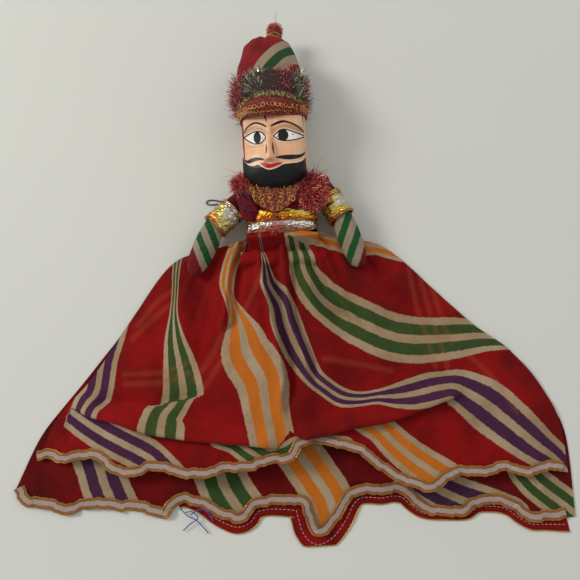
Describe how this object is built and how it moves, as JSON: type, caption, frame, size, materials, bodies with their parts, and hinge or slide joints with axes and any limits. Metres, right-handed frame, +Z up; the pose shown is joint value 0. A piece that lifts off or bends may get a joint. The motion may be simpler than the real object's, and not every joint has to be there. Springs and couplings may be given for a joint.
{
  "type": "string puppet",
  "caption": "Lying string puppet with a carved and painted head, tall turban, stuffed cloth arms in foil armlets and a long gathered striped skirt with braided hems.",
  "frame": {"origin": "on the surface the puppet lies on, below the middle of the whole puppet's box", "axes": "+X across the puppet towards its right-hand side as seen from above, +Y from the skirt's hem towards the head, +Z up out of the puppet's front"},
  "size_m": [0.454, 0.457, 0.063],
  "materials": {
    "painted_wood": "painted, glossy",
    "turban_cloth": "georgette with printed stripes",
    "red_thread": "thread",
    "gold_braid": "woven braid with gold thread",
    "tinsel": "shiny film strands",
    "loop_braid": "woven loops of gold thread",
    "bodice_cloth": "woven cotton",
    "gold_foil": "crumpled metallised film",
    "silver_foil": "crumpled metallised film",
    "navy_thread": "thread",
    "patch_cloth": "woven cotton",
    "red_tinsel": "shiny film strands",
    "string": "twisted cotton string",
    "striped_cloth": "striped georgette over stuffing",
    "skirt_cloth": "sheer striped georgette"
  },
  "bodies": {
    "torso": {"carved_head": "painted_wood", "turban_wrap": "turban_cloth", "turban_knob": "red_thread", "knob_binding": "gold_braid", "turban_garland": "tinsel", "forehead_band": "loop_braid", "bodice": "bodice_cloth", "chest_foil": "gold_foil", "waist_foil": "silver_foil", "waist_thread": "red_thread", "waist_stitch": "navy_thread", "collar_trim": "loop_braid", "left_yoke": "patch_cloth", "right_yoke": "patch_cloth", "left_tinsel": "red_tinsel", "right_tinsel": "red_tinsel", "left_shoulder_thread": "navy_thread", "right_shoulder_thread": "navy_thread", "neck_knot": "string", "control_string": "string", "string_loop_knot": "string", "string_coil": "string", "string_end_knot": "string"},
    "left_tab": {"left_arm_tab": "bodice_cloth"},
    "left_arm": {"left_upper_arm": "bodice_cloth", "left_armlet": "gold_foil", "left_elbow_thread": "navy_thread", "left_arm_thread": "navy_thread"},
    "left_lower_arm": {"left_forearm": "striped_cloth", "left_hand": "striped_cloth"},
    "right_tab": {"right_arm_tab": "bodice_cloth"},
    "right_arm": {"right_upper_arm": "bodice_cloth", "right_armlet": "gold_foil", "right_elbow_thread": "navy_thread", "right_arm_thread": "navy_thread"},
    "right_lower_arm": {"right_forearm": "striped_cloth", "right_hand": "striped_cloth"},
    "waist_link": {"waist_tie": "bodice_cloth", "waist_cord": "red_thread"},
    "skirt": {"skirt_casing": "skirt_cloth", "skirt_front": "skirt_cloth", "skirt_back": "skirt_cloth", "front_hem_trim": "gold_braid", "back_hem_trim": "gold_braid"}
  },
  "joints": [
    {"name": "left_shoulder_swing", "type": "hinge", "parent": "torso", "child": "left_tab", "pos_m": [-0.033, 0.0555, 0.017], "axis": [0, 0, 1], "range_deg": [-85, 4]},
    {"name": "left_shoulder_lift", "type": "hinge", "parent": "left_tab", "child": "left_arm", "pos_m": [-0.03958, 0.04936, 0.017], "axis": [-0.682, 0.7314, 0], "range_deg": [0, 40]},
    {"name": "left_elbow_bend", "type": "hinge", "parent": "left_arm", "child": "left_lower_arm", "pos_m": [-0.05933, 0.03095, 0.017], "axis": [0, 0, 1], "range_deg": [-75, 10]},
    {"name": "right_shoulder_swing", "type": "hinge", "parent": "torso", "child": "right_tab", "pos_m": [0.0345, 0.0655, 0.017], "axis": [0, 0, 1], "range_deg": [-2, 85]},
    {"name": "right_shoulder_lift", "type": "hinge", "parent": "right_tab", "child": "right_arm", "pos_m": [0.039, 0.05771, 0.017], "axis": [-0.866, -0.5, 0], "range_deg": [0, 40]},
    {"name": "right_elbow_bend", "type": "hinge", "parent": "right_arm", "child": "right_lower_arm", "pos_m": [0.0525, 0.03432, 0.017], "axis": [0, 0, 1], "range_deg": [-10, 75]},
    {"name": "waist_sway", "type": "hinge", "parent": "torso", "child": "waist_link", "pos_m": [0, 0.0105, 0.014], "axis": [0, 0, 1], "range_deg": [-12, 12]},
    {"name": "skirt_swing", "type": "hinge", "parent": "waist_link", "child": "skirt", "pos_m": [0, 0.0015, 0.014], "axis": [1, 0, 0], "range_deg": [-45, 0]}
  ]
}
